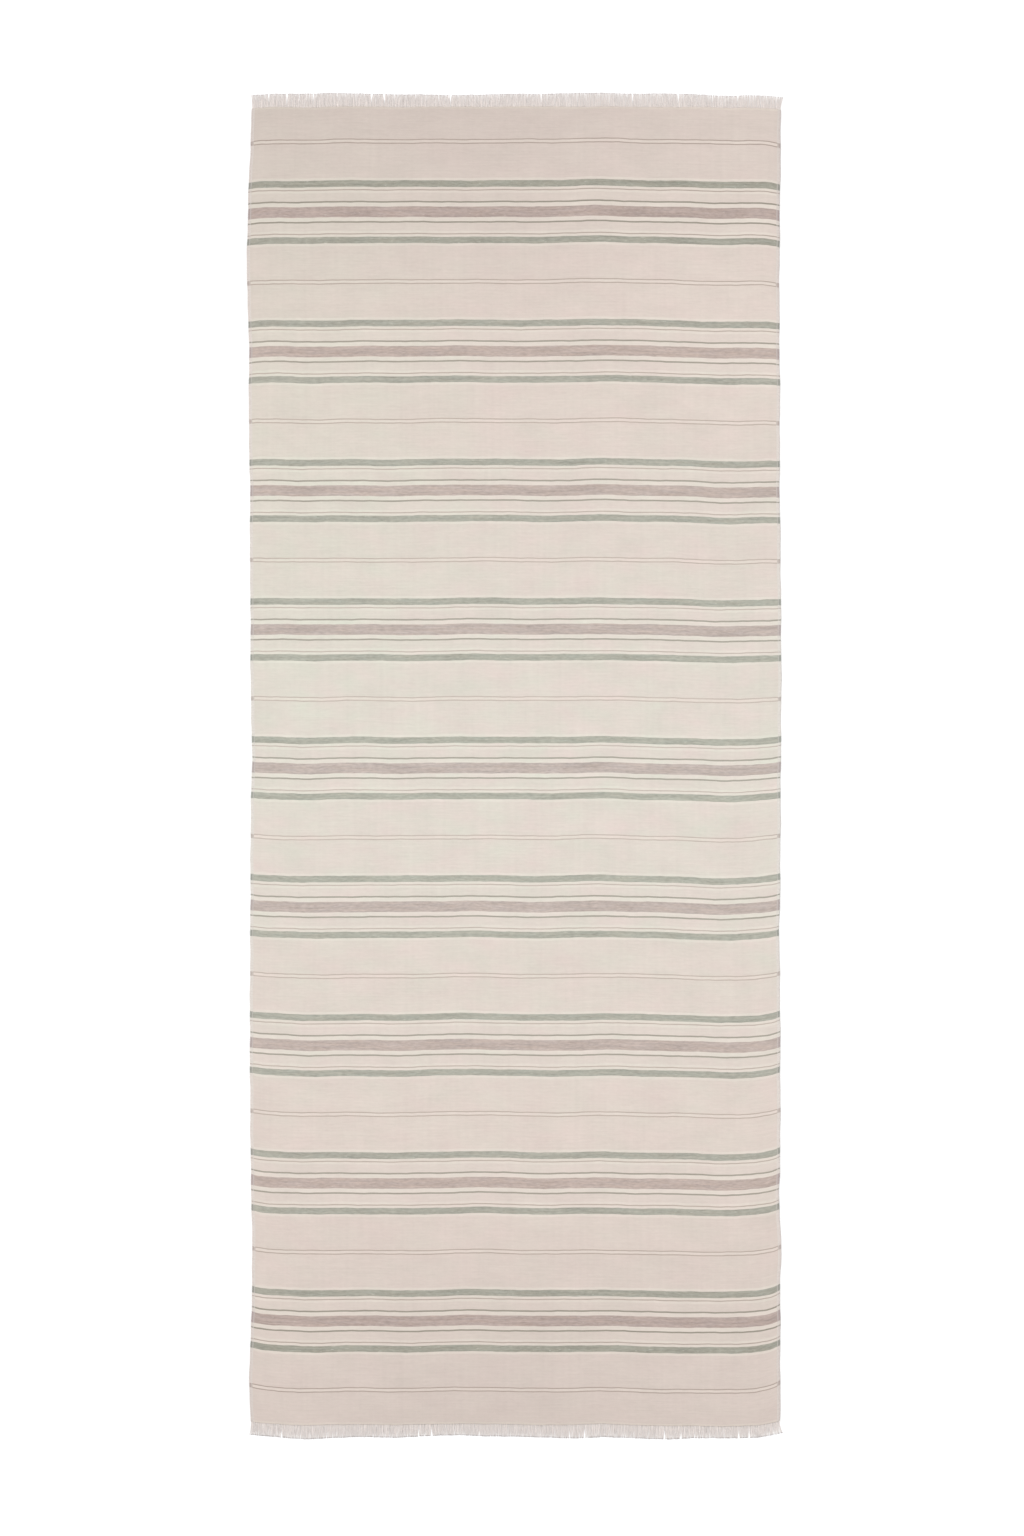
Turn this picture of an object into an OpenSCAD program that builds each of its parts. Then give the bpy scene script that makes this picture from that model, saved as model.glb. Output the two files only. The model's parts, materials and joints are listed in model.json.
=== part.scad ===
// Striped flat-woven cotton runner rug, lying flat and face up.
// Width runs along X, length along Y, and the underside is at z = 0.
// Nine identical stripe groups repeat along the length, numbered 1 to 9 from the
// lower end (-Y). Ten plain fields, 1 to 10, lie between and outside them, and
// each has a pair of pinstripes. Each woven colour is its own weft yarn, so each
// is a separate solid. The cloth folds along three lines, which cut it into four
// panels: both ends fold in to the middle, then the halves close like a book.

/* [Rug] */
// Width across both selvedges
rug_w = 800; // [600:10:900]
// Thickness of the woven cloth
cloth_t = 2; // [1.5:0.1:3]
// Width of the selvedge on each long side
selvedge_w = 5; // [4:0.5:8]
// Depth of the locking row that stops the weave at each end
locking_d = 3; // [2:0.5:5]

/* [Stripe groups] */
// Distance from one stripe group to the next
pitch = 210; // [200:1:220]
// Distance from the last group's centre line to the end of the cloth
end_margin = 160; // [150:1:180]
// Width of the mauve band in the middle of a group
mauve_w = 16; // [12:0.5:18]
// Width of the cream border on each side of the mauve band
inner_cream_w = 6; // [4:0.5:7]
// Width of the dark line
dark_w = 2.4; // [2:0.2:3]
// Width of the ground between the dark line and the taupe line's cream edge
inner_ground_w = 12.2; // [10:0.2:13]
// Width of the cream edge inside the taupe line
taupe_cream_w = 3.6; // [2:0.2:4]
// Width of a taupe line, in the groups and in the pinstripes
taupe_w = 1.6; // [1.2:0.1:2]
// Width of the cream line on each side of a green band
green_cream_w = 3.7; // [2:0.1:4]
// Width of a green band
green_w = 9.8; // [8:0.2:12]

/* [Pinstripes] */
// Width of the cream line between a pair of pinstripes
pin_cream_w = 3.8; // [3:0.2:5]

/* [Fringe] */
// Length of the cut warp ends beyond the cloth
fringe_len = 18; // [12:1:24]
// Thickness of the fringe
fringe_t = 1.4; // [1:0.1:2]
// Number of tufts at each end
tufts = 80; // [60:1:100]
// Gap between two tufts at their roots
tuft_gap = 1; // [0.5:0.1:2]
// How much narrower a tuft's tip is than its root
tuft_taper = 1.2; // [0.5:0.1:3]

/* [Folds] */
// Clearance between two panels along a fold line
fold_gap = 0.3; // [0.2:0.1:1]
// How far a folded end stops short of the middle fold line
fold_short = 6; // [4:1:12]

/* [Hidden] */
GROUPS = 9;
PANELS = ["lower_end", "lower_middle", "upper_middle", "upper_end"];
ENDS = ["lower", "upper"];
SIDES = ["left", "right"];

half_len = (GROUPS - 1) / 2 * pitch + end_margin;
strip_half_w = rug_w / 2 - selvedge_w;

// Distances from a group's centre line to the edges of its stripes, outwards
mauve_edge = mauve_w / 2;
dark_from = mauve_edge + inner_cream_w;
dark_to = dark_from + dark_w;
ground_to = dark_to + inner_ground_w;
taupe_from = ground_to + taupe_cream_w;
taupe_to = taupe_from + taupe_w;
green_from = taupe_to + green_cream_w;
green_to = green_from + green_w;
group_to = green_to + green_cream_w;

// Distances from a pinstripe pair's centre line
pin_from = pin_cream_w / 2;
pin_to = pin_from + taupe_w;

// The end fold lies halfway between the fringe's tip and the middle fold line,
// less the short reach, so that the folded end stops clear of the middle.
fold_y = (half_len + fringe_len + fold_short) / 2;
fold_lines = [-half_len, -fold_y, 0, fold_y, half_len];

// Each part of a group or field, as [name ending, number, panel it is on].
// The middle group and the fields with a fold line are in two parts.
GROUP_PARTS = [
    ["1", 1, 0], ["2", 2, 0], ["3", 3, 1], ["4", 4, 1], ["5_lower", 5, 1],
    ["5_upper", 5, 2], ["6", 6, 2], ["7", 7, 2], ["8", 8, 3], ["9", 9, 3]
];
FIELD_PARTS = [
    ["1", 1, 0], ["2", 2, 0], ["3_outer", 3, 0], ["3_inner", 3, 1],
    ["4", 4, 1], ["5", 5, 1], ["6", 6, 2], ["7", 7, 2],
    ["8_inner", 8, 2], ["8_outer", 8, 3], ["9", 9, 3], ["10", 10, 3]
];

// Centre lines of group g (1 to 9) and of the pinstripe pair in field f (1 to 10)
function group_y(g) = (g - (GROUPS + 1) / 2) * pitch;
function pin_y(f) = (f - (GROUPS + 2) / 2) * pitch;

// The span between two distances from a centre line, on its -Y or +Y side
function beside(centre, side, near, far) =
    side > 0 ? [centre + near, centre + far] : [centre - far, centre - near];
function both_sides(centre, near, far) =
    [for (side = [-1, 1]) beside(centre, side, near, far)];
function in_groups(near, far) =
    [for (g = [1:GROUPS]) for (span = both_sides(group_y(g), near, far)) span];

// Lowest and highest y of a panel, with half the clearance off at each fold line
function panel_from(p) = fold_lines[p] + (p > 0 ? fold_gap / 2 : 0);
function panel_to(p) = fold_lines[p + 1] - (p < 3 ? fold_gap / 2 : 0);

// Lowest and highest y of field f, between its two neighbours
function field_from(f) = f == 1 ? -half_len + locking_d : group_y(f - 1) + group_to;
function field_to(f) = f == GROUPS + 1 ? half_len - locking_d : group_y(f) - group_to;

// Strips of cloth across the rug, one for each span, cut to one panel
module strips(spans, p) {
    for (span = spans) {
        from = max(span[0], panel_from(p));
        to = min(span[1], panel_to(p));
        if (to > from)
            translate([-strip_half_w, from, 0])
                cube([2 * strip_half_w, to - from, cloth_t]);
    }
}

// Plain ground of field f, on both sides of its pinstripes
module plain_field(f, p) {
    color("#dccfc4")
        strips([[field_from(f), pin_y(f) - pin_to], [pin_y(f) + pin_to, field_to(f)]], p);
}

// The two sage green bands at the edges of group g
module green_bands(g, p) {
    color("#aeb0a0") strips(both_sides(group_y(g), green_from, green_to), p);
}

// The mauve band in the middle of group g
module mauve_band(g, p) {
    color("#beaca3")
        strips([[group_y(g) - mauve_edge, group_y(g) + mauve_edge]], p);
}

// The ground inside the groups, between the dark and the taupe lines
module inner_ground(p) {
    color("#dfd3c8") strips(in_groups(dark_to, ground_to), p);
}

// All the cream lines: beside the mauve, taupe and green, and between pinstripes
module cream_lines(p) {
    color("#e6dccf") {
        strips(in_groups(mauve_edge, dark_from), p);
        strips(in_groups(ground_to, taupe_from), p);
        strips(in_groups(taupe_to, green_from), p);
        strips(in_groups(green_to, group_to), p);
        strips([for (f = [1:GROUPS + 1]) [pin_y(f) - pin_from, pin_y(f) + pin_from]], p);
    }
}

// The thin grey-green lines outside the mauve band's cream border
module dark_lines(p) {
    color("#a19f90") strips(in_groups(dark_from, dark_to), p);
}

// The finest lines: inside each green band, and both lines of each pinstripe pair
module taupe_lines(p) {
    color("#c3b3a7") {
        strips(in_groups(taupe_from, taupe_to), p);
        strips([
            for (f = [1:GROUPS + 1])
                for (span = both_sides(pin_y(f), pin_from, pin_to)) span
        ], p);
    }
}

// The woven edge along one long side: -1 is left, 1 is right
module selvedge(side, p) {
    color("#dcd2c8")
        translate([side > 0 ? strip_half_w : -rug_w / 2, panel_from(p), 0])
            cube([selvedge_w, panel_to(p) - panel_from(p), cloth_t]);
}

// The closely beaten last rows of weft: -1 is the lower end, 1 the upper
module locking_row(end) {
    color("#d5c8bd")
        translate([-strip_half_w, end > 0 ? half_len - locking_d : -half_len, 0])
            cube([2 * strip_half_w, locking_d, cloth_t]);
}

// One tuft of warp ends, drawn along +Y from its root
module tuft(w) {
    linear_extrude(fringe_t)
        polygon([
            [-w / 2, 0], [w / 2, 0],
            [(w - tuft_taper) / 2, fringe_len], [-(w - tuft_taper) / 2, fringe_len]
        ]);
}

// The row of tufts beyond one end
module fringe(end) {
    step = rug_w / tufts;
    color("#e0d8d2")
        for (i = [0:tufts - 1])
            translate([(i + 0.5) * step - rug_w / 2, end * half_len, 0])
                rotate([0, 0, end > 0 ? 0 : 180])
                    tuft(step - tuft_gap);
}

for (part = FIELD_PARTS)
    plain_field(part[1], part[2]);

for (part = GROUP_PARTS) {
    green_bands(part[1], part[2]);
    mauve_band(part[1], part[2]);
}

for (p = [0:3]) {
    inner_ground(p);
    cream_lines(p);
    dark_lines(p);
    taupe_lines(p);
    selvedge(-1, p);
    selvedge(1, p);
}

locking_row(-1);  // lower_locking_row
locking_row(1);  // upper_locking_row
fringe(-1);  // lower_fringe
fringe(1);  // upper_fringe
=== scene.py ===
"""Looks of the striped cotton runner rug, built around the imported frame.

Width runs along X, length along Y, and the rug lies face up on the floor at z = 0. Every woven
strip of the frame becomes a strip of ribbed cloth, and all of them are laid through the same
function, so that neighbours stay edge to edge where the stripes wander. Units are metres.
"""

import json
import math

import bpy
import numpy as np
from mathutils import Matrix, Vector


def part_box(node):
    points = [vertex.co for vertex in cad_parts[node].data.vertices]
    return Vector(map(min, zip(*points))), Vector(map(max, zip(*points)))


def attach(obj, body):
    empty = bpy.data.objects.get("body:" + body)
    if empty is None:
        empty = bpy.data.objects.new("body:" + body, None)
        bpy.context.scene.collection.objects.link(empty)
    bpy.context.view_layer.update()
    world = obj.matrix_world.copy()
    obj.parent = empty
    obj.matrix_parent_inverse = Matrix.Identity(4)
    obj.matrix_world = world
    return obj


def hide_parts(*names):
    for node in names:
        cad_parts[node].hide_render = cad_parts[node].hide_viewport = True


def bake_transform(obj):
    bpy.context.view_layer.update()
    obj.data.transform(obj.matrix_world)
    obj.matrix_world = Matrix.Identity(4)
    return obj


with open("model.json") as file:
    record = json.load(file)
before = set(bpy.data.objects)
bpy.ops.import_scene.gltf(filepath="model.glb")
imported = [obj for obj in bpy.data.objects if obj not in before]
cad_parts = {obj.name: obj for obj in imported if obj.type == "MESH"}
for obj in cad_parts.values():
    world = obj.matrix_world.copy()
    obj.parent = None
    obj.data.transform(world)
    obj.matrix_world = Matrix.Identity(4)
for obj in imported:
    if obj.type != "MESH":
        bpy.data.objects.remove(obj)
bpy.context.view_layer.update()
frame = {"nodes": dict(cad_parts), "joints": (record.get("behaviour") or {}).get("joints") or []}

# ---------------------------------------------------------------- sizes from the frame

PANELS = ("lower_end", "lower_middle", "upper_middle", "upper_end")
GROUPS = range(1, 10)
FIELDS = range(1, 11)
EDGE_LOW, EDGE_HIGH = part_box("right_selvedge_upper_end")
HALF_W = EDGE_HIGH.x            # to the outside of the selvedge
STRIP_HALF_W = EDGE_LOW.x       # to the inside of the selvedge
HALF_L = EDGE_HIGH.y            # to the end of the cloth, where the fringe starts
CLOTH_T = EDGE_HIGH.z
FRINGE_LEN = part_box("upper_fringe")[1].y - HALF_L
JOINTS = {joint["name"]: joint for joint in frame["joints"]}
END_FOLD = JOINTS["upper_end_fold"]["pos_m"][1]
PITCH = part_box("mauve_band_2")[0].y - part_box("mauve_band_1")[0].y
FOLD_CUT = 0.001                # two strips closer than this are one, cut by a fold line

# ---------------------------------------------------------------- how the cloth lies

RIPPLE = 0.0006                 # height of the ripples, up and down
RIB = 0.00175                   # width of one weft rib
RIB_JITTER = 0.16               # how far a rib's edge strays, as a share of its width
LOWEST_CREST = 0.65             # height of the lowest rib, as a share of the highest
RIB_DEPTH = 0.00014
LINE_DEPTH = 0.00026            # a fine line stands a little prouder than the ground
PICK = 0.0009                   # distance between two weft threads
END_SPACE = 0.0011              # distance between two warp threads
THIN = 0.0018                   # thickness between two ribs
SIDE_FROM = 0.32                # beyond this the weft bends most, so columns are closer
FIELD_ROWS = 2                  # mesh rows in each rib of a plain field
TRIM_ROWS = 3                   # and of the inner ground, lines and selvedges
BAND_ROWS = 4                   # and of bands, locking rows and the fields that fold
SELVEDGE_REACH = 0.020          # how far into the cloth the selvedges pull
END_FOLD_REACH = 0.0018         # half the length of cloth round an end fold
MIDDLE_FOLD_REACH = 0.0035

rng = np.random.default_rng(7)


def hump(t, centre, reach):
    """A smooth hump of height 1 at its centre."""
    return np.exp(-(((t - centre) / reach) ** 2))


def near_end(distance, depth):
    """Rises from 0 to 1 over the last part of the cloth, as deep as depth."""
    return np.clip((distance - HALF_L + depth) / depth, 0, 1)


def ripple(x, y):
    """Gentle ripples, odd about every fold line, so that folded layers nest in each other."""
    turn = np.pi * y / END_FOLD
    long_wave = 0.45 * np.sin(2 * turn) * np.cos(5.0 * x + 0.6)
    cross_wave = 0.30 * np.sin(5 * turn) * np.cos(9.0 * x - 0.8)
    short_wave = 0.25 * np.sin(9 * turn) * np.cos(14.0 * x + 1.9)
    return RIPPLE * (long_wave + cross_wave + short_wave)


def wander(x, y):
    """How far along the length a weft line strays: the spacing of the groups and of the ends,
    nearly the same bow in every group, a small waver of its own, and a pull at both selvedges
    that turns from one end to the other and slackens at the last rows."""
    stretch = 0.0005 * y + 0.0039 * y**2 + 0.0012 * hump(y, 0.95, 0.04)
    stretch += 0.0022 * near_end(-y, 0.055) ** 2
    stretch -= (0.0026 + 0.0017 * hump(x, 0.13, 0.06)) * near_end(y, 0.045)
    tilt = (0.0018 * y - 0.0017) * x
    bow = 0.0017 * hump(x, 0.13, 0.05) - 0.0011 * hump(x, -0.31, 0.04)
    bow += 0.0011 * (1 - y) * hump(x, -0.06, 0.06) - 0.0005 * hump(x, -0.18, 0.04)
    bow += (0.0018 * y**2 - 0.0005 * y - 0.0031) * hump(x, 0.32, 0.06)
    waver = 0.0003 * np.sin(21 * x + 7 * y) + 0.0003 * np.sin(47 * x - 13 * y + 1.0)
    waver += 0.00020 * np.sin(90 * x + 31 * y + 2.0) + 0.00015 * np.sin(230 * x - 90 * y)
    waver += 0.00012 * np.sin(150 * x + 270 * y) + 0.00010 * np.sin(410 * x + 160 * y + 1.0)
    left = (0.0014 - 0.0063 * y) * np.exp(-np.clip(HALF_W + x, 0, None) / SELVEDGE_REACH)
    right = (0.0028 - 0.0111 * y) * np.exp(-np.clip(HALF_W - x, 0, None) / SELVEDGE_REACH)
    slack = 1 - 0.45 * near_end(np.abs(y), 0.055)
    return stretch + tilt + bow + waver + slack * (left + right)


def stray(x, y):
    """How far across the width a point strays. Both selvedges are slightly uneven, and the cloth
    between them follows the nearer one."""
    left = -0.0007 - 0.0056 * hump(y, 0.76, 0.10) - 0.0026 * hump(y, 0.54, 0.10)
    left += 0.0023 * hump(y, 0.02, 0.07) - 0.0010 * hump(y, -0.40, 0.14)
    left -= 0.0010 * hump(y, 0.33, 0.05) + 0.0016 * hump(y, 0.87, 0.05)
    left += 0.0026 * hump(y, -0.75, 0.11) - 0.0024 * hump(y, -0.93, 0.04)
    left += 0.0026 * hump(y, 1.02, 0.05)
    right = 0.0018 + 0.0016 * hump(y, 0.14, 0.16) - 0.0014 * hump(y, 0.72, 0.15)
    right -= 0.0010 * hump(y, 0.44, 0.08)
    right -= 0.0016 * hump(y, -0.26, 0.06) + 0.0022 * hump(y, -0.65, 0.03)
    right += 0.0009 * hump(y, 1.0, 0.10) + 0.0014 * hump(y, -0.74, 0.03)
    left += 0.0003 * np.sin(61 * y + 1.0) + 0.0002 * np.sin(150 * y)
    right += 0.0004 * np.sin(57 * y) + 0.0002 * np.sin(140 * y + 1.0)
    share = np.clip(0.5 + x / (2 * HALF_W), 0, 1)
    return left * (1 - share) ** 3 + right * share**3


def lay(x, y, z):
    """Where a point of the flat rug comes to lie, as an array of points."""
    return np.stack(
        [x + stray(x, y), y + wander(x, y), z + RIPPLE + ripple(x, y)], axis=-1
    )


# ---------------------------------------------------------------- meshes


def make_object(name, points, faces, uv, flat_faces=None):
    """A smooth mesh of quads, with the flat rug's x and y as its UV. Each of the flat_faces has
    corners of its own, so that its edges stay sharp."""
    if flat_faces is not None:
        corners = faces[flat_faces].ravel()
        faces = faces.copy()
        faces[flat_faces] = len(points) + np.arange(len(corners)).reshape(-1, 4)
        points = np.concatenate([points, points[corners]])
        uv = np.concatenate([uv, uv[corners]])
    mesh = bpy.data.meshes.new(name)
    mesh.vertices.add(len(points))
    mesh.vertices.foreach_set("co", points.astype(np.float32).ravel())
    mesh.loops.add(faces.size)
    mesh.loops.foreach_set("vertex_index", faces.astype(np.int32).ravel())
    mesh.polygons.add(len(faces))
    mesh.polygons.foreach_set("loop_start", np.arange(0, faces.size, 4, dtype=np.int32))
    mesh.polygons.foreach_set("loop_total", np.full(len(faces), 4, np.int32))
    mesh.polygons.foreach_set("use_smooth", np.ones(len(faces), bool))
    layer = mesh.uv_layers.new(name="rug")
    layer.data.foreach_set("uv", uv[faces.ravel()].astype(np.float32).ravel())
    mesh.update(calc_edges=True)
    mesh.validate()
    obj = bpy.data.objects.new(name, mesh)
    bpy.context.scene.collection.objects.link(obj)
    return obj


def spans(*nodes):
    """The y spans of the nodes' strips, lowest first. Strips that only a fold line parts are
    joined into one."""
    found = []
    for node in nodes:
        ys = sorted({round(v.co.y, 6) for v in frame["nodes"][node].data.vertices})
        found += list(zip(ys[0::2], ys[1::2]))
    found.sort()
    joined = [list(found[0])]
    for low, high in found[1:]:
        if low - joined[-1][1] < FOLD_CUT:
            joined[-1][1] = high
        else:
            joined.append([low, high])
    return joined


def columns():
    """Places across the width: every 9 mm, and every 4 mm by the selvedges."""
    middle = np.linspace(-SIDE_FROM, SIDE_FROM, 71)
    side = np.linspace(SIDE_FROM, STRIP_HALF_W, 21)[1:]
    return np.concatenate([-side[::-1], middle, side])


def rib_rows(low, high, steps):
    """The rows of a strip and each one's height, from 0 between two ribs to 1 on top of the
    highest. The ribs vary a little in width and in height."""
    count = max(1, round((high - low) / RIB))
    edges = np.arange(count + 1, dtype=float)
    edges[1:-1] += rng.uniform(-RIB_JITTER, RIB_JITTER, count - 1)
    edges = low + (high - low) * edges / count
    share = np.arange(steps) / steps
    crest = rng.uniform(LOWEST_CREST, 1.0, count)
    rows = (edges[:-1, None] + np.diff(edges)[:, None] * share).ravel()
    heights = (crest[:, None] * np.sin(np.pi * share) ** 2).ravel()
    return np.append(rows, high), np.append(heights, 0.0)


def slab_faces(rows, cols):
    """Quads of a closed slab whose top grid comes first and its underside second. The last
    ones are the four side walls."""
    index = np.arange(rows * cols).reshape(rows, cols)
    under = index + rows * cols
    top = [index[:-1, :-1], index[:-1, 1:], index[1:, 1:], index[1:, :-1]]
    base = [under[:-1, :-1], under[1:, :-1], under[1:, 1:], under[:-1, 1:]]
    near = [under[0, :-1], under[0, 1:], index[0, 1:], index[0, :-1]]
    far = [under[-1, 1:], under[-1, :-1], index[-1, :-1], index[-1, 1:]]
    left = [under[1:, 0], under[:-1, 0], index[:-1, 0], index[1:, 0]]
    right = [under[:-1, -1], under[1:, -1], index[1:, -1], index[:-1, -1]]
    sheets = [np.stack([c.ravel() for c in four], axis=1) for four in (top, base)]
    walls = [np.stack(four, axis=1) for four in (near, far, left, right)]
    return np.concatenate(sheets + walls), sum(len(w) for w in walls)


def strip_piece(name, strips, steps, depth):
    """One piece of cloth made of strips, each a closed slab with weft ribs on both faces."""
    points, faces, uv, flat, start, first = [], [], [], [], 0, 0
    x = columns()
    for low, high in strips:
        y, height = rib_rows(low, high, steps)
        across, along = np.meshgrid(x, y)
        along_rib = 0.85 + 0.15 * np.sin(60 * across + 900 * along)
        rise = depth * height[:, None] * along_rib
        for z in (THIN + rise, depth - rise):
            points.append(lay(across, along, z).reshape(-1, 3))
            uv.append(np.stack([across, along], axis=-1).reshape(-1, 2))
        quads, walls = slab_faces(len(y), len(x))
        faces.append(quads + start)
        flat.append(np.arange(first + len(quads) - walls, first + len(quads)))
        start += 2 * across.size
        first += len(quads)
    parts = [np.concatenate(part) for part in (points, faces, uv, flat)]
    return make_object(name, *parts)


def selvedge_piece(name, side, low, high):
    """The woven edge: a flat cord round which each weft rib turns, swept along the length. Its
    cross-section goes out along the top, round the edge and back along the underside."""
    y, height = rib_rows(low, high, TRIM_ROWS)
    width = HALF_W - STRIP_HALF_W
    half_t = CLOTH_T / 2
    angles = np.radians(np.linspace(80, -80, 8))
    turn = 1 - half_t / width * (1 - np.cos(angles))
    out = np.concatenate([[0, 0.3, 0.6], turn, [0.6, 0.3, 0]])
    up = np.concatenate([[0.93, 0.96, 1.0], np.sin(angles), [-1.0, -0.96, -0.93]])
    x = STRIP_HALF_W + width * out * (0.97 + 0.10 * out * (height[:, None] - 0.5))
    z = half_t * (1 + up * (0.92 + 0.08 * height[:, None]))
    along = np.broadcast_to(y[:, None], x.shape)
    points = lay(side * x, along, np.clip(z, 0, None)).reshape(-1, 3)
    uv = np.stack([side * x, along], axis=-1).reshape(-1, 2)
    rows, around = x.shape
    index = np.arange(rows * around).reshape(rows, around)
    after = np.roll(index, -1, axis=1)
    quads = np.stack(
        [c.ravel() for c in (index[:-1], after[:-1], after[1:], index[1:])], axis=1
    )
    inner_wall = np.arange(around - 1, len(quads), around)
    caps = []
    for row in (index[0, ::-1], index[-1]):
        for i in range(around // 2 - 1):
            caps.append([row[i], row[i + 1], row[-i - 2], row[-i - 1]])
    faces = np.concatenate([quads, np.array(caps)])
    flat = np.append(inner_wall, len(quads) + np.arange(len(caps)))
    return make_object(name, points, faces[:, ::side], uv, flat)


STRAND_RADIUS = 0.00044
FLUFF_RADIUS = 0.00018
STRAND_LEAN = 0.0002            # how far a tip usually strays sideways
FLUFF_LEAN = 0.0009
FRINGE_INSET = 0.0008           # from the outside of the selvedge to the first strand
ROOT_OVERLAP = 0.0015           # how far a root reaches into the cloth
TWIST_ACROSS = 0.0013           # the spacing of a strand's twist, across it and along it
TWIST_ALONG = 0.0019
# How much longer the strands are than the frame's tufts
LONGER = {"upper": 0.0018, "lower": 0.0014}
CLUMP_CHANCE = 0.08             # of a strand being the first of a new clump
CLUMP_LEAN = 0.0005
GAP_PUSH = 0.0016               # how far a gap pushes the tips beside it, and how far it is felt
GAP_REACH = 0.005
FLARE_REACH = 0.010             # how far in from a corner the tips lean
# Narrow gaps that part the fringe, as places across the width
GAPS = {
    "upper": (-0.374, -0.347, -0.306, -0.218, -0.198, -0.098, 0.039, 0.177, 0.246, 0.335),
    "lower": (-0.353, -0.145, -0.127, 0.082, 0.105, 0.226, 0.251, 0.338, 0.353),
}
# How far the tips lean sideways at the left and right corners
CORNER_FLARE = {"upper": (-0.001, 0.005), "lower": (-0.003, 0.007)}


def strands(end, count, radius, lean, sides):
    """A row of loose warp ends beyond one end of the cloth, each a tapered, wavy tube. Returns
    its points, faces and UV, which is the place across the width and along the strand."""
    sign = 1 if end == "upper" else -1
    s = np.append(np.linspace(0, 1, 9), 1.0)
    narrowing = np.append(1 - 0.25 * s[:-1] ** 4, 0.15)
    spacing = 2 * (HALF_W - FRINGE_INSET) / count
    root = spacing * (np.arange(count) + 0.5) - HALF_W + FRINGE_INSET
    root += rng.uniform(-0.2, 0.2, count) * spacing
    clump = np.cumsum(rng.uniform(0, 1, count) < CLUMP_CHANCE)
    push = rng.normal(0, lean, count) + rng.normal(0, CLUMP_LEAN, count)[clump]
    for gap in GAPS[end]:
        away = root - gap
        push += GAP_PUSH * np.sign(away) * np.exp(-np.abs(away) / GAP_REACH)
    push += CORNER_FLARE[end][0] * np.exp(-(HALF_W + root) / FLARE_REACH)
    push += CORNER_FLARE[end][1] * np.exp(-(HALF_W - root) / FLARE_REACH)
    length = FRINGE_LEN + LONGER[end] + 0.0013 * np.cos(13.5 * (root + 0.32))
    length += 0.0006 * np.sin(47 * root + 3 * sign) + rng.normal(0, 0.00018, count)
    wave, curl = rng.uniform(0, 2 * np.pi, count), rng.uniform(0.0001, 0.0003, count)
    thick = radius * rng.uniform(0.85, 1.15, count)
    root, push, wave, curl, length, thick = (
        values[:, None] for values in (root, push, wave, curl, length, thick)
    )
    taper = thick * narrowing
    base = lay(root, sign * HALF_L, CLOTH_T / 2)
    x = base[..., 0] + push * s**1.8 + curl * np.sin(wave + 6 * s) * s
    y = base[..., 1] + sign * (s * (length + ROOT_OVERLAP) - ROOT_OVERLAP)
    drop = (base[..., 2] - thick) * (1 - s) ** 2
    z = taper + drop + rng.uniform(0, 0.0004, (count, 1)) * np.sin(np.pi * s) ** 2
    angle = 2 * np.pi * (np.arange(sides) + 0.25) / sides
    sideways = taper[..., None] * np.cos(angle)
    across = x[..., None] + sideways
    along = np.broadcast_to(y[..., None], across.shape)
    height = z[..., None] + taper[..., None] * np.sin(angle)
    points = np.stack([across, along, height], axis=-1).reshape(-1, 3)
    share = np.broadcast_to(s[:, None], across.shape)
    uv = np.stack([root[..., None] + sideways, share], axis=-1).reshape(-1, 2)
    index = np.arange(across.size).reshape(across.shape)
    after = np.roll(index, -1, axis=2)
    walls = (index[:, :-1], index[:, 1:], after[:, 1:], after[:, :-1])
    quads = [np.stack([c.ravel() for c in walls], axis=1)[:, ::sign]]
    for k in range(1, sides - 2, 2):
        quads.append(index[:, 0, [0, k, k + 1, k + 2]][:, ::sign])
        quads.append(index[:, -1, [0, k, k + 1, k + 2]][:, ::-sign])
    return points, np.concatenate(quads), uv


def fringe_piece(name, end):
    """The warp ends side by side, with finer fluff between them."""
    count = round(2 * HALF_W / END_SPACE)
    points, quads, uv = strands(end, count, STRAND_RADIUS, STRAND_LEAN, sides=6)
    fluff_points, fluff_quads, fluff_uv = strands(end, count, FLUFF_RADIUS, FLUFF_LEAN, sides=4)
    quads = np.concatenate([quads, fluff_quads + len(points)])
    points = np.concatenate([points, fluff_points])
    return make_object(name, points, quads, np.concatenate([uv, fluff_uv]))


# ---------------------------------------------------------------- materials

NOISE_SPREAD = 2.6              # Blender's noise seldom leaves the middle of its range


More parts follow.
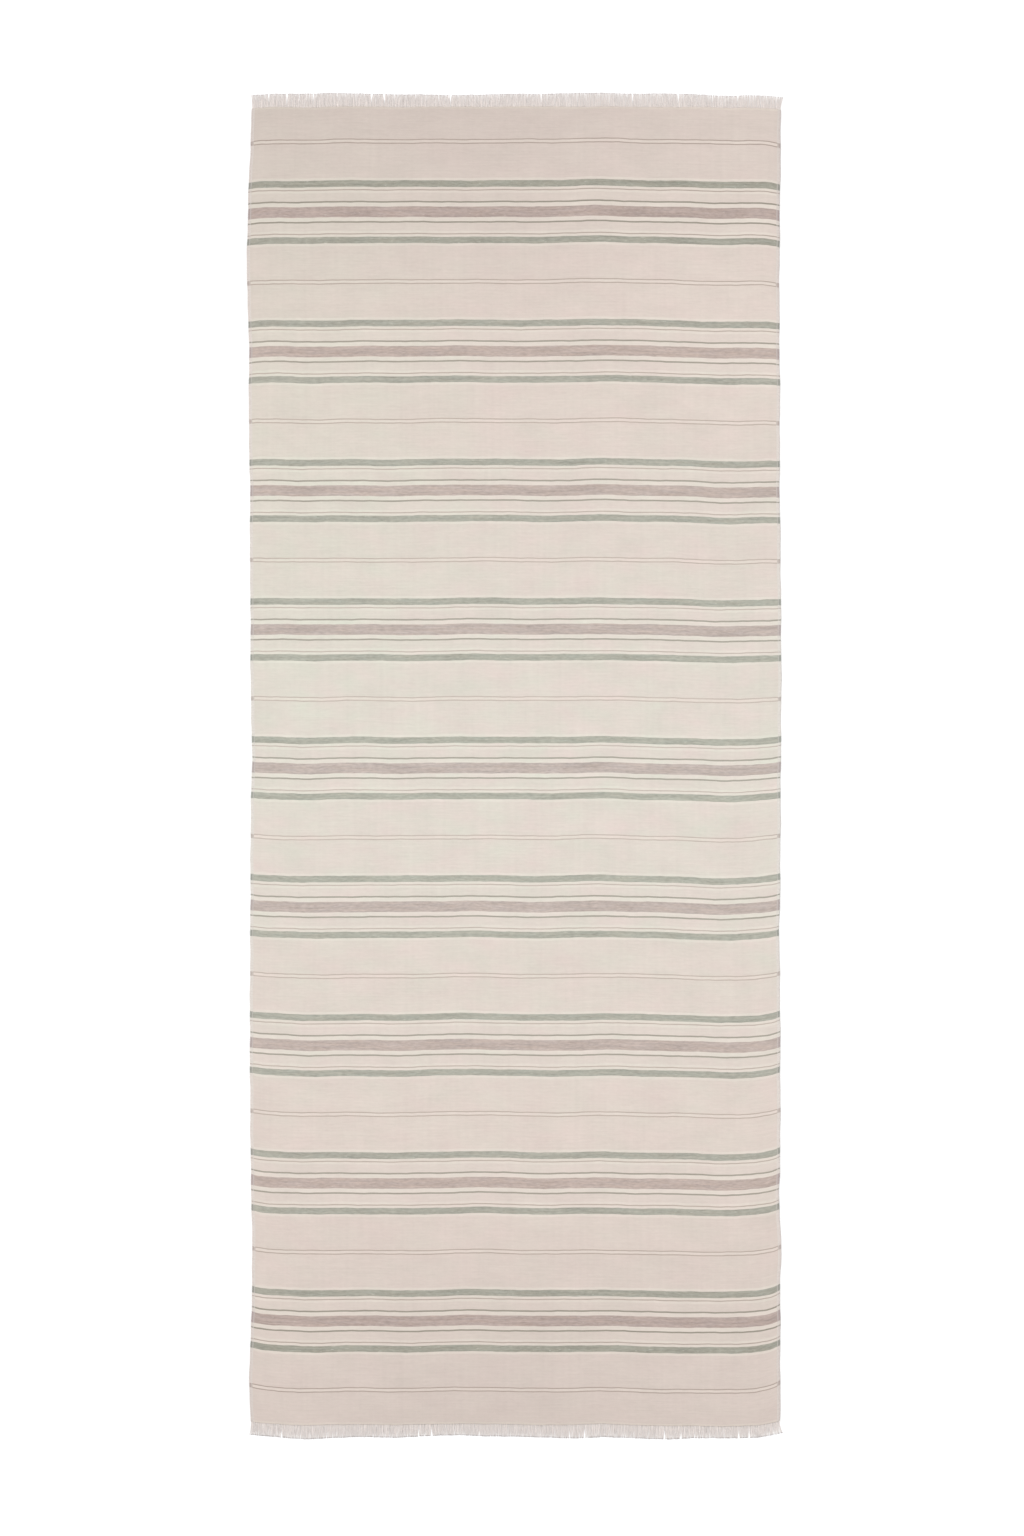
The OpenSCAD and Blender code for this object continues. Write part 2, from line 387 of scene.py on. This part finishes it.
class Nodes:
    """Builds a material's node tree with short calls. Colours and numbers are passed on as output
    sockets. u and v are the flat rug's x and y, and on the fringe v runs along the strand, from 0
    at its root to 1 at its tip."""

    def __init__(self, name):
        self.material = bpy.data.materials.new(name)
        self.material.use_nodes = True
        self.tree = self.material.node_tree
        self.shader = self.tree.nodes["Principled BSDF"]
        self.where = self.add("ShaderNodeUVMap", uv_map="rug").outputs["UV"]
        self.u, self.v = self.add("ShaderNodeSeparateXYZ", {"Vector": self.where}).outputs[:2]

    def add(self, kind, inputs=None, **settings):
        node = self.tree.nodes.new(kind)
        for key, value in settings.items():
            setattr(node, key, value)
        for key, value in (inputs or {}).items():
            self.put(node.inputs[key], value)
        return node

    def put(self, socket, value):
        if isinstance(value, bpy.types.NodeSocket):
            self.tree.links.new(value, socket)
        else:
            socket.default_value = value

    def maths(self, operation, *values):
        inputs = dict(enumerate(values))
        return self.add("ShaderNodeMath", inputs, operation=operation).outputs[0]

    def noise(self, across, along, detail, seed):
        """Noise about 0, roughly from -1 to 1, whose grain is across by along metres."""
        scale = self.add(
            "ShaderNodeVectorMath",
            {0: self.where, 1: (1 / across, 1 / along, 1)},
            operation="MULTIPLY",
        ).outputs[0]
        inputs = {"Vector": scale, "W": seed, "Scale": 1.0, "Detail": detail}
        node = self.add("ShaderNodeTexNoise", inputs, noise_dimensions="4D")
        return self.maths("MULTIPLY_ADD", node.outputs[0], NOISE_SPREAD, -NOISE_SPREAD / 2)

    def ramp(self, factor, stops, steps=False):
        """Colours at places from 0 to 1, as (place, colour) stops, blended or in steps."""
        node = self.add("ShaderNodeValToRGB", {"Fac": factor})
        node.color_ramp.interpolation = "CONSTANT" if steps else "LINEAR"
        elements = node.color_ramp.elements
        for place, colour in stops[2:]:
            elements.new(place)
        for element, (place, colour) in zip(elements, stops):
            element.position = place
            element.color = (*colour, 1)
        return node.outputs[0]

    def mix(self, factor, a, b, blend="MIX"):
        node = self.add("ShaderNodeMix", data_type="RGBA", blend_type=blend)
        for socket, value in ((0, factor), (6, a), (7, b)):
            if isinstance(value, tuple):
                value = (*value, 1)
            self.put(node.inputs[socket], value)
        return node.outputs[2]

    def shade(self, colour, *parts):
        """The colour made lighter or darker by the sum of the (socket, share) parts."""
        total = 1.0
        for socket, share in parts:
            total = self.maths("MULTIPLY_ADD", socket, share, total)
        grey = self.add("ShaderNodeCombineColor", {i: total for i in range(3)}).outputs[0]
        return self.mix(1.0, colour, grey, "MULTIPLY")

    def finish(self, colour, height, depth):
        """Sets the shader of dull cotton, whose threads stand up by depth where height is 1."""
        bump = self.add(
            "ShaderNodeBump", {"Height": height, "Strength": 1.0, "Distance": depth}
        )
        self.put(self.shader.inputs["Base Color"], colour)
        self.put(self.shader.inputs["Normal"], bump.outputs[0])
        self.shader.inputs["Roughness"].default_value = 0.92
        self.shader.inputs["Specular IOR Level"].default_value = 0.15
        self.shader.inputs["Sheen Weight"].default_value = 0.06
        self.shader.inputs["Sheen Roughness"].default_value = 0.6
        return self.material


LIGHT = 1.2                     # how bright a white cloth lying flat comes out


def yarn(red, green, blue):
    """An sRGB colour as it should come out in this scene's light, from 0 to 255."""
    return tuple((c / 255) ** 2.2 / LIGHT for c in (red, green, blue))


# Each yarn's colour at the middle of the rug, two thirds out, and at its ends, where it is darker:
# painted shade of the light falling off.
YARNS = {
    "ground": (yarn(228, 219, 209), yarn(225, 211, 202), yarn(212, 198, 190)),
    "inner": (yarn(228, 219, 209), yarn(225, 212, 203), yarn(213, 200, 191)),
    "locking": (yarn(228, 219, 209), yarn(226, 213, 204), yarn(216, 204, 194)),
    "cream": (yarn(233, 226, 215), yarn(230, 219, 209), yarn(220, 209, 199)),
    "pin cream": (yarn(234, 223, 213), yarn(230, 217, 208), yarn(219, 206, 197)),
    "mauve": (yarn(197, 184, 177), yarn(193, 176, 168), yarn(176, 158, 152)),
    "green": (yarn(180, 180, 168), yarn(174, 172, 161), yarn(159, 156, 144)),
    "dark": (yarn(175, 170, 158), yarn(170, 163, 151), yarn(152, 145, 133)),
    "taupe": (yarn(202, 189, 179), yarn(191, 176, 165), yarn(177, 161, 152)),
}


def weave(nodes):
    """The plain weave: its height, about 0, and from -1 to 1 how far the weft is on top."""
    jitter = nodes.noise(0.004, 0.0012, 1.0, 5.0)
    pick = nodes.maths("SINE", nodes.maths("MULTIPLY_ADD", nodes.v, math.pi / PICK, jitter))
    end = nodes.maths("SINE", nodes.maths("MULTIPLY", nodes.u, math.pi / END_SPACE))
    over = nodes.maths("MULTIPLY", pick, end)
    thread = nodes.maths("MULTIPLY_ADD", nodes.maths("ABSOLUTE", pick), 0.7, -0.45)
    return nodes.maths("MULTIPLY_ADD", over, 0.5, thread), over


def lengthwise_with_painted_falloff(nodes, colours):
    """The yarn's colour, which changes a little from the middle of the rug to its ends. Its
    darkening towards the ends is painted shade, where the light falls off.
    """
    middle, part_way, end = colours
    between = tuple(0.55 * a + 0.45 * b for a, b in zip(middle, part_way))
    distance = nodes.maths("ABSOLUTE", nodes.v)
    return nodes.ramp(distance, [(0.10, middle), (0.34, between), (0.64, part_way), (1.0, end)])


# Broad parts of the cloth that are a little greener or lighter: centre, reach and tone
PATCHES = (
    ((-0.36, 0.48), (0.33, 0.62), (0.986, 1.027, 1.005)),
    ((0.42, 0.98), (0.42, 0.50), (1.062, 1.065, 1.065)),
    ((-0.42, -1.00), (0.26, 0.30), (1.05, 1.05, 1.05)),
    ((0.33, -1.00), (0.28, 0.25), (1.035, 1.035, 1.035)),
)


def mottled(nodes, colour):
    """Wide, soft patches of a pinker and a greener tone, stronger in the middle of the rug than
    at its ends, and the broad parts in PATCHES, whose tone fades out towards their rims."""
    amount = nodes.maths("MULTIPLY_ADD", nodes.maths("ABSOLUTE", nodes.v), -0.50, 0.60)
    factor = nodes.maths("MULTIPLY_ADD", nodes.noise(0.060, 0.034, 3.0, 1.0), amount, 0.5)
    tint = nodes.ramp(factor, [(0.0, (0.95, 1.035, 0.99)), (1.0, (1.05, 0.965, 1.0))])
    colour = nodes.mix(1.0, colour, tint, "MULTIPLY")
    for centre, reach, tone in PATCHES:
        squares = 0.0
        for place, middle, span in zip((nodes.u, nodes.v), centre, reach):
            share = nodes.maths("MULTIPLY_ADD", place, 1 / span, -middle / span)
            squares = nodes.maths("MULTIPLY_ADD", share, share, squares)
        tint = nodes.ramp(squares, [(0.0, tone), (1.0, (1.0, 1.0, 1.0))])
        colour = nodes.mix(1.0, colour, tint, "MULTIPLY")
    return colour


PIN_ZONE = 0.02                 # half the length of cloth round a pinstripe pair
PIN_CREAM_HALF = 0.002          # the cream inside a pair doesn't reach the edge of the cloth


def group_distance(nodes):
    """Distance along the length to the middle of the nearest group."""
    within = nodes.maths("FLOORED_MODULO", nodes.maths("ADD", nodes.v, PITCH / 2), PITCH)
    return nodes.maths("ABSOLUTE", nodes.maths("SUBTRACT", within, PITCH / 2))


def plain_yarn(name, yarn_name, pin_name=None):
    """Pale yarn: long faint slubs, fainter warp stripes, and a pinkish to greenish mottle. The
    cream between two pinstripes has a colour of its own."""
    nodes = Nodes(name)
    colour = lengthwise_with_painted_falloff(nodes, YARNS[yarn_name])
    if pin_name:
        beyond = nodes.maths("GREATER_THAN", group_distance(nodes), PITCH / 2 - PIN_ZONE)
        colour = nodes.mix(beyond, colour, lengthwise_with_painted_falloff(nodes, YARNS[pin_name]))
    colour = mottled(nodes, colour)
    cloud = nodes.noise(0.06, 0.035, 2.0, 17.0)
    streak = nodes.noise(0.050, 0.0026, 2.0, 2.0)
    stripe = nodes.noise(0.006, 0.25, 1.5, 3.0)
    grain = nodes.noise(0.010, 0.0030, 2.0, 4.0)
    threads, _ = weave(nodes)
    # The threads part darkens the hollows of the weave: painted shade between the threads.
    colour = nodes.shade(
        colour, (cloud, 0.05), (streak, 0.045), (stripe, 0.022), (grain, 0.045), (threads, 0.05)
    )
    height = nodes.maths("MULTIPLY_ADD", streak, 0.6, threads)
    return nodes.finish(colour, height, depth=0.00008)


def heathered_yarn(name, yarn_name, light, dark, warm, cool):
    """Coloured bands: every thread changes between a lighter and a darker shade in dashes, a few
    dashes are much paler or deeper, and the warp shows through as pale dots."""
    nodes = Nodes(name)
    colour = lengthwise_with_painted_falloff(nodes, YARNS[yarn_name])
    hue = nodes.maths("MULTIPLY_ADD", nodes.noise(0.035, 0.004, 2.0, 18.0), 0.5, 0.5)
    colour = nodes.mix(1.0, colour, nodes.ramp(hue, [(0.0, warm), (1.0, cool)]), "MULTIPLY")
    dash = nodes.noise(0.009, 0.0021, 2.0, 6.0)
    long_dash = nodes.noise(0.070, 0.0036, 2.0, 7.0)
    cloud = nodes.noise(0.14, 0.02, 2.0, 8.0)
    colour = nodes.shade(colour, (dash, 0.26), (long_dash, 0.24), (cloud, 0.09))
    pale = nodes.maths("GREATER_THAN", nodes.noise(0.010, 0.0017, 2.0, 9.0), 0.42)
    colour = nodes.mix(nodes.maths("MULTIPLY", pale, 0.6), colour, light)
    deep = nodes.maths("GREATER_THAN", nodes.noise(0.014, 0.0019, 2.0, 10.0), 0.45)
    colour = nodes.mix(nodes.maths("MULTIPLY", deep, 0.6), colour, dark)
    threads, over = weave(nodes)
    warp = nodes.maths("LESS_THAN", over, -0.72)
    colour = nodes.mix(nodes.maths("MULTIPLY", warp, 0.35), colour, light)
    # Darker in the hollows of the weave: painted shade between the threads.
    colour = nodes.shade(colour, (threads, 0.07))
    height = nodes.maths("MULTIPLY_ADD", dash, 0.5, threads)
    return nodes.finish(colour, height, depth=0.00010)


def line_yarn(name, yarn_name):
    """Fine lines: two or three threads, slightly uneven in tone along their length."""
    nodes = Nodes(name)
    colour = lengthwise_with_painted_falloff(nodes, YARNS[yarn_name])
    long_tone = nodes.noise(0.05, 0.003, 2.0, 11.0)
    dash = nodes.noise(0.007, 0.0012, 2.0, 12.0)
    threads, _ = weave(nodes)
    # The threads part darkens the hollows of the weave: painted shade between the threads.
    colour = nodes.shade(colour, (long_tone, 0.12), (dash, 0.08), (threads, 0.05))
    return nodes.finish(colour, threads, depth=0.00008)


def selvedge_yarn(name):
    """The edge, where each weft colour turns round the last warp threads: a little cooler than in
    the cloth, the stripes darker too, beside a thin pale line of doubled warp."""
    nodes = Nodes(name)
    half_pitch = PITCH / 2
    stops = []
    for node, yarn_name, cooler in (
        ("mauve_band_5_upper", "mauve", (0.88, 0.89, 0.93)),
        ("cream_lines_upper_middle", "cream", (0.95, 0.97, 0.99)),
        ("dark_lines_upper_middle", "dark", (0.94, 0.97, 1.0)),
        ("inner_ground_upper_middle", "ground", (1.01, 1.04, 1.07)),
        ("taupe_lines_upper_middle", "taupe", (0.94, 0.97, 1.0)),
        ("green_bands_5_upper", "green", (0.82, 0.84, 0.87)),
        ("plain_field_6", "ground", (1.01, 1.04, 1.07)),
    ):
        colour = tuple(a * b for a, b in zip(YARNS[yarn_name][0], cooler))
        starts = [low for low, _ in spans(node) if low < half_pitch - PIN_CREAM_HALF]
        stops += [(low / half_pitch, colour) for low in starts]
    stops.sort()
    share = nodes.maths("DIVIDE", group_distance(nodes), half_pitch)
    colour = nodes.ramp(share, [(0.0, stops[0][1])] + stops[1:], steps=True)
    middle = YARNS["ground"][0]
    # The ground's darkening towards the ends, painted shade of the light falling off, is laid over
    # the selvedge too.
    painted_falloff = [tuple(a / b for a, b in zip(colour, middle)) for colour in YARNS["ground"]]
    colour = nodes.mix(1.0, colour, lengthwise_with_painted_falloff(nodes, painted_falloff), "MULTIPLY")
    knots = nodes.noise(0.004, 0.0022, 1.0, 13.0)
    outward = nodes.maths("SUBTRACT", nodes.maths("ABSOLUTE", nodes.u), STRIP_HALF_W)
    outward = nodes.maths("MULTIPLY_ADD", knots, 0.0003, outward)
    outward = nodes.maths("DIVIDE", outward, HALF_W - STRIP_HALF_W)
    none, part = (0.0, 0.0, 0.0), (0.4, 0.4, 0.4)
    line = nodes.ramp(outward, [(0.0, none), (0.12, part), (0.24, part), (0.45, none)])
    colour = nodes.mix(line, colour, yarn(228, 222, 213))
    threads, _ = weave(nodes)
    # The threads part darkens the hollows of the weave: painted shade between the threads.
    colour = nodes.shade(colour, (knots, 0.12), (threads, 0.06))
    height = nodes.maths("MULTIPLY_ADD", knots, 0.6, threads)
    return nodes.finish(colour, height, depth=0.00010)


def fringe_yarn(name):
    """Loose warp ends: pale, each strand a little lighter or darker, greyer at the tips, which end
    in a line of painted shade. A few strands are painted darker, as shadow between two tufts."""
    nodes = Nodes(name)
    root, middle = yarn(255, 245, 239), yarn(250, 240, 235)
    # The tip colour is greyer yarn with painted shade along the cut ends.
    outer, tip = yarn(246, 238, 234), yarn(200, 190, 188)
    colour = nodes.ramp(nodes.v, [(0.0, root), (0.35, middle), (0.92, outer), (1.0, tip)])
    each = nodes.noise(0.0018, 1.0, 1.0, 14.0)
    tuft = nodes.noise(0.009, 2.0, 2.0, 15.0)
    # A few strands are darkened: painted shadow between two tufts.
    painted_shade = nodes.maths("GREATER_THAN", nodes.noise(0.0014, 0.8, 1.0, 19.0), 0.45)
    colour = nodes.shade(colour, (each, 0.07), (tuft, 0.06), (painted_shade, -0.22))
    turns = nodes.maths("MULTIPLY", nodes.u, 2 * math.pi / TWIST_ACROSS)
    turns = nodes.maths("MULTIPLY_ADD", nodes.v, 2 * math.pi * FRINGE_LEN / TWIST_ALONG, turns)
    return nodes.finish(colour, nodes.maths("SINE", turns), depth=0.00004)


MATERIALS = {
    "ground": plain_yarn("ground_cotton", "ground"),
    "inner": plain_yarn("inner_ground_cotton", "inner"),
    "locking": plain_yarn("locking_cotton", "locking"),
    "cream": plain_yarn("cream_cotton", "cream", "pin cream"),
    "mauve": heathered_yarn(
        "mauve_heather",
        "mauve",
        light=yarn(214, 200, 192),
        dark=yarn(172, 150, 150),
        warm=(1.03, 0.99, 0.94),
        cool=(0.97, 1.01, 1.05),
    ),
    "green": heathered_yarn(
        "sage_heather",
        "green",
        light=yarn(208, 206, 193),
        dark=yarn(142, 149, 134),
        warm=(1.04, 0.99, 0.96),
        cool=(0.96, 1.01, 1.03),
    ),
    "dark": line_yarn("dark_line", "dark"),
    "taupe": line_yarn("taupe_line", "taupe"),
    "selvedge": selvedge_yarn("selvedge"),
    "fringe": fringe_yarn("fringe"),
}


def dress(obj, look, nodes):
    """Gives a piece its material and slot, and hides the nodes it stands for."""
    obj.data.materials.append(MATERIALS[look])
    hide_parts(*nodes)


# ---------------------------------------------------------------- how pieces ride on the panels

FOLD_OF = {
    "lower_end": ("lower_end_fold", "lower_end", "lower_middle", END_FOLD_REACH),
    "middle": ("middle_fold", "lower_middle", "upper_middle", MIDDLE_FOLD_REACH),
    "upper_end": ("upper_end_fold", "upper_middle", "upper_end", END_FOLD_REACH),
}


def fold(obj):
    """Bakes the transform of a piece that crosses a fold line into its mesh."""
    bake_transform(obj)


def panel_of(y):
    """The panel that a place along the length lies on."""
    return PANELS[int(y > -END_FOLD) + int(y > 0) + int(y > END_FOLD)]


def place(obj, strips):
    """Bakes the piece's transform into its mesh if a fold line crosses one of its strips or
    parts two of them, or else has it ride on its panel."""
    low, high = strips[0][0], strips[-1][1]
    for which, (joint, *_) in FOLD_OF.items():
        if low < JOINTS[joint]["pos_m"][1] < high:
            fold(obj)
            return
    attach(obj, panel_of((low + high) / 2))


def parts(kind, number):
    """The CAD nodes of a numbered field or group: one, or the two parts of a divided one."""
    stem = f"{kind}_{number}"
    return [n for n in frame["nodes"] if n == stem or n.startswith(stem + "_")]


def numbered(kind, number, look, steps, depth):
    """A field or band with a number, as one piece even where a fold line divides it."""
    nodes = parts(kind, number)
    strips = spans(*nodes)
    obj = strip_piece(f"{kind}_{number}_woven", strips, steps, depth)
    dress(obj, look, nodes)
    place(obj, strips)
    return obj, strips


def per_panel(kind, panel, look, steps, depth):
    """All the strips of one yarn on one panel, as one piece."""
    node = f"{kind}_{panel}"
    strips = spans(node)
    obj = strip_piece(f"{node}_woven", strips, steps, depth)
    dress(obj, look, [node])
    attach(obj, panel)
    return obj, strips


# ---------------------------------------------------------------- camera, floor and light

VIEW_HEIGHT = 2.327             # length of floor that the picture's long side covers
VIEW_CENTRE = (-0.0045, 0.0006)
LENS = 200
FLOOR_HALF = 60.0
FLOOR_COLOUR = (0.96, 0.96, 0.96, 1)
SKY_STRENGTH = 0.85
SUN_STRENGTH = 1.45
SUN_TURN = (-38, -20, 0)        # in degrees, from straight above
SUN_SPREAD = 25                 # in degrees, for soft shadows


def make_camera():
    data = bpy.data.cameras.new("camera")
    data.lens = LENS
    data.clip_end = 100
    camera = bpy.data.objects.new("camera", data)
    camera.location = (*VIEW_CENTRE, VIEW_HEIGHT * LENS / data.sensor_width)
    bpy.context.scene.collection.objects.link(camera)
    bpy.context.scene.camera = camera


def make_floor():
    mesh = bpy.data.meshes.new("floor")
    corners = [(x * FLOOR_HALF, y * FLOOR_HALF, 0) for x, y in ((-1, -1), (1, -1), (1, 1), (-1, 1))]
    mesh.from_pydata(corners, [], [(0, 1, 2, 3)])
    floor = bpy.data.objects.new("floor", mesh)
    bpy.context.scene.collection.objects.link(floor)
    material = bpy.data.materials.new("floor")
    material.use_nodes = True
    shader = material.node_tree.nodes["Principled BSDF"]
    shader.inputs["Base Color"].default_value = FLOOR_COLOUR
    shader.inputs["Roughness"].default_value = 1.0
    shader.inputs["Specular IOR Level"].default_value = 0.0
    mesh.materials.append(material)


def make_light():
    world = bpy.data.worlds.new("studio")
    world.use_nodes = True
    background = world.node_tree.nodes["Background"]
    background.inputs["Color"].default_value = (1, 1, 1, 1)
    background.inputs["Strength"].default_value = SKY_STRENGTH
    bpy.context.scene.world = world
    sun = bpy.data.lights.new("key", "SUN")
    sun.energy = SUN_STRENGTH
    sun.angle = math.radians(SUN_SPREAD)
    lamp = bpy.data.objects.new("key", sun)
    lamp.rotation_euler = [math.radians(turn) for turn in SUN_TURN]
    bpy.context.scene.collection.objects.link(lamp)
    bpy.context.scene.view_settings.view_transform = "Standard"


make_camera()
make_floor()
make_light()

# ---------------------------------------------------------------- the rug

trim = {panel: [] for panel in PANELS}      # the pieces that go with each panel's inner ground
for panel in PANELS:
    for kind, look, depth in (
        ("cream_lines", "cream", RIB_DEPTH),
        ("dark_lines", "dark", LINE_DEPTH),
        ("taupe_lines", "taupe", LINE_DEPTH),
    ):
        trim[panel].append(per_panel(kind, panel, look, TRIM_ROWS, depth)[0])

for end in ("lower", "upper"):
    panel = f"{end}_end"
    node = f"{end}_locking_row"
    row = strip_piece(f"{node}_woven", spans(node), BAND_ROWS, RIB_DEPTH)
    dress(row, "locking", [node])
    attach(row, panel)
    trim[panel].append(row)
    fringe = fringe_piece(f"{end}_fringe_strands", end)
    dress(fringe, "fringe", [f"{end}_fringe"])
    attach(fringe, panel)
    trim[panel].append(fringe)

# Each selvedge is in three pieces, and each of them crosses one fold line
SELVEDGE_JOIN = END_FOLD / 2
for side, sign in (("left", -1), ("right", 1)):
    for which, low, high in (
        ("lower_end", -HALF_L, -SELVEDGE_JOIN),
        ("middle", -SELVEDGE_JOIN, SELVEDGE_JOIN),
        ("upper_end", SELVEDGE_JOIN, HALF_L),
    ):
        cord = selvedge_piece(f"{side}_selvedge_{which}_woven", sign, low, high)
        on_panels = ("lower_middle", "upper_middle") if which == "middle" else (which,)
        dress(cord, "selvedge", [f"{side}_selvedge_{panel}" for panel in on_panels])
        fold(cord)
        trim[on_panels[0]].append(cord)

for panel in PANELS:
    cloth, strips = per_panel("inner_ground", panel, "inner", TRIM_ROWS, RIB_DEPTH)
for number in FIELDS:
    folds = len(parts("plain_field", number)) > 1
    steps = BAND_ROWS if folds else FIELD_ROWS
    cloth, strips = numbered("plain_field", number, "ground", steps, RIB_DEPTH)
for number in GROUPS:
    for kind, look in (("green_bands", "green"), ("mauve_band", "mauve")):
        cloth, strips = numbered(kind, number, look, BAND_ROWS, RIB_DEPTH)
